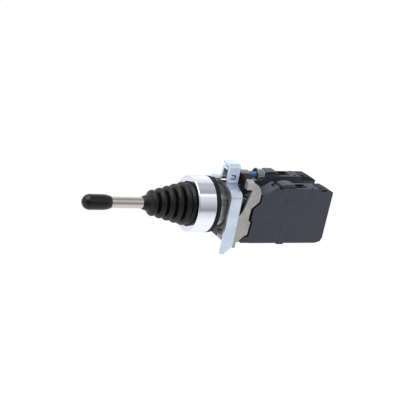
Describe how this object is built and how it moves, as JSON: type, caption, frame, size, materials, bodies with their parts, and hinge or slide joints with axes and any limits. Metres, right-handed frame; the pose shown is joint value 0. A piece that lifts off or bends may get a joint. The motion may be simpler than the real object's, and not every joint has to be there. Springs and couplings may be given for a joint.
{
  "type": "panel-mounted joystick switch",
  "caption": "Panel-mounted joystick switch: black knob on a metal lever, ribbed rubber boot, polished round bezel, cast collar with screw clamp, two columns of stacked contact blocks.",
  "frame": {"origin": "centre of the panel hole, on the panel's front face, which is the rear face of the seal", "axes": "+Z along the lever at rest, towards the knob; +Y towards the clamp screw, where the clamp's box is; +X towards the right-hand column of contact blocks"},
  "size_m": [0.0294, 0.0457, 0.1341],
  "materials": {
    "rubber_black": "satin moulded rubber",
    "knob_black": "satin moulded plastic",
    "seal_black": "matt rubber",
    "bezel_chrome": "turned and polished",
    "shaft_nickel": "nickel plated, drawn",
    "cast_zinc": "die-cast zinc alloy, satin",
    "barrel_dark": "dark passivated die-cast",
    "sheet_zinc": "blue-white zinc plated sheet",
    "screw_steel": "zinc plated",
    "case_slate": "fine textured thermoplastic",
    "inner_plastic": "natural acetal",
    "hub_plastic": "glass-filled plastic",
    "spring_steel": "drawn wire",
    "contact_brass": "stamped",
    "bridge_silver": "silver-faced"
  },
  "bodies": {
    "root": {"bezel_ring": "bezel_chrome", "panel_seal": "seal_black", "head_barrel": "barrel_dark", "boot_retainer": "hub_plastic", "boot": "rubber_black", "gimbal_pins": "screw_steel", "return_spring": "spring_steel", "rod_guide": "inner_plastic", "guide_circlip": "spring_steel", "fixing_collar": "cast_zinc", "front_right_casing": "case_slate", "front_right_cover": "case_slate", "front_right_spring": "spring_steel", "front_right_contacts": "contact_brass", "front_right_clamps": "sheet_zinc", "front_right_screws": "screw_steel", "front_left_casing": "case_slate", "front_left_cover": "case_slate", "front_left_spring": "spring_steel", "front_left_contacts": "contact_brass", "front_left_clamps": "sheet_zinc", "front_left_screws": "screw_steel", "rear_right_casing": "case_slate", "rear_right_cover": "case_slate", "rear_right_spring": "spring_steel", "rear_right_contacts": "contact_brass", "rear_right_clamps": "sheet_zinc", "rear_right_screws": "screw_steel", "rear_left_casing": "case_slate", "rear_left_cover": "case_slate", "rear_left_spring": "spring_steel", "rear_left_contacts": "contact_brass", "rear_left_clamps": "sheet_zinc", "rear_left_screws": "screw_steel"},
    "gimbal": {"gimbal_ring": "screw_steel"},
    "lever": {"knob": "knob_black", "lever_shaft": "shaft_nickel", "lever_hub": "hub_plastic", "hub_pin": "screw_steel", "actuator_plate": "inner_plastic", "shaft_nut": "screw_steel"},
    "rod_east": {"push_rod_east": "inner_plastic"},
    "rod_west": {"push_rod_west": "inner_plastic"},
    "rod_north": {"push_rod_north": "inner_plastic"},
    "rod_south": {"push_rod_south": "inner_plastic"},
    "lock": {"lock_ring": "cast_zinc"},
    "clamp": {"clamp_bracket": "sheet_zinc"},
    "screw": {"clamp_screw": "screw_steel", "screw_washer": "screw_steel"},
    "press_front_right": {"front_right_plunger": "inner_plastic", "front_right_bridge": "bridge_silver"},
    "press_front_left": {"front_left_plunger": "inner_plastic", "front_left_bridge": "bridge_silver"},
    "press_rear_right": {"rear_right_plunger": "inner_plastic", "rear_right_bridge": "bridge_silver"},
    "press_rear_left": {"rear_left_plunger": "inner_plastic", "rear_left_bridge": "bridge_silver"}
  },
  "joints": [
    {"name": "tilt_x", "type": "hinge", "parent": "root", "child": "gimbal", "pos_m": [0, 0, 0.004], "axis": [0, 1, 0], "range_deg": [-14, 14], "stiffness_Nm_per_rad": 0.8, "deforming": ["boot", "return_spring"]},
    {"name": "tilt_y", "type": "hinge", "parent": "gimbal", "child": "lever", "pos_m": [0, 0, 0.004], "axis": [1, 0, 0], "range_deg": [-14, 14], "stiffness_Nm_per_rad": 0.8, "deforming": ["boot", "return_spring"]},
    {"name": "rod_east_slide", "type": "slide", "parent": "root", "child": "rod_east", "axis": [0, 0, -1], "range_m": [-0.00186, 0.00186]},
    {"name": "press_front_right_slide", "type": "slide", "parent": "root", "child": "press_front_right", "axis": [0, 0, -1], "range_m": [-0.00186, 0.00186], "deforming": ["front_right_spring"]},
    {"name": "rod_west_slide", "type": "slide", "parent": "root", "child": "rod_west", "axis": [0, 0, -1], "range_m": [-0.00186, 0.00186]},
    {"name": "press_rear_left_slide", "type": "slide", "parent": "root", "child": "press_rear_left", "axis": [0, 0, -1], "range_m": [-0.00186, 0.00186], "deforming": ["rear_left_spring"]},
    {"name": "rod_north_slide", "type": "slide", "parent": "root", "child": "rod_north", "axis": [0, 0, -1], "range_m": [-0.00186, 0.00186]},
    {"name": "press_front_left_slide", "type": "slide", "parent": "root", "child": "press_front_left", "axis": [0, 0, -1], "range_m": [-0.00186, 0.00186], "deforming": ["front_left_spring"]},
    {"name": "rod_south_slide", "type": "slide", "parent": "root", "child": "rod_south", "axis": [0, 0, -1], "range_m": [-0.00186, 0.00186]},
    {"name": "press_rear_right_slide", "type": "slide", "parent": "root", "child": "press_rear_right", "axis": [0, 0, -1], "range_m": [-0.00186, 0.00186], "deforming": ["rear_right_spring"]},
    {"name": "lock_turn", "type": "hinge", "parent": "root", "child": "lock", "pos_m": [0, 0, 0], "axis": [0, 0, 1], "range_deg": [0, 20]},
    {"name": "clamp_slide", "type": "slide", "parent": "root", "child": "clamp", "axis": [0, 0, 1], "range_m": [-0.0017, 0.003]},
    {"name": "clamp_screw_turn", "type": "hinge", "parent": "clamp", "child": "screw", "pos_m": [0.003, 0.0179, -0.018], "axis": [0, 0, 1], "range_deg": [-1035, 1815]}
  ],
  "couplings": [
    {"joint": "rod_east_slide", "follows": "tilt_x", "m_per_rad": 0.0073468},
    {"joint": "press_front_right_slide", "follows": "tilt_x", "m_per_rad": 0.0073468},
    {"joint": "rod_west_slide", "follows": "tilt_x", "m_per_rad": -0.0073468},
    {"joint": "press_rear_left_slide", "follows": "tilt_x", "m_per_rad": -0.0073468},
    {"joint": "rod_north_slide", "follows": "tilt_y", "m_per_rad": -0.0073468},
    {"joint": "press_front_left_slide", "follows": "tilt_y", "m_per_rad": -0.0073468},
    {"joint": "rod_south_slide", "follows": "tilt_y", "m_per_rad": 0.0073468},
    {"joint": "press_rear_right_slide", "follows": "tilt_y", "m_per_rad": 0.0073468},
    {"joint": "clamp_screw_turn", "follows": "clamp_slide", "rad_per_m": 10472}
  ]
}
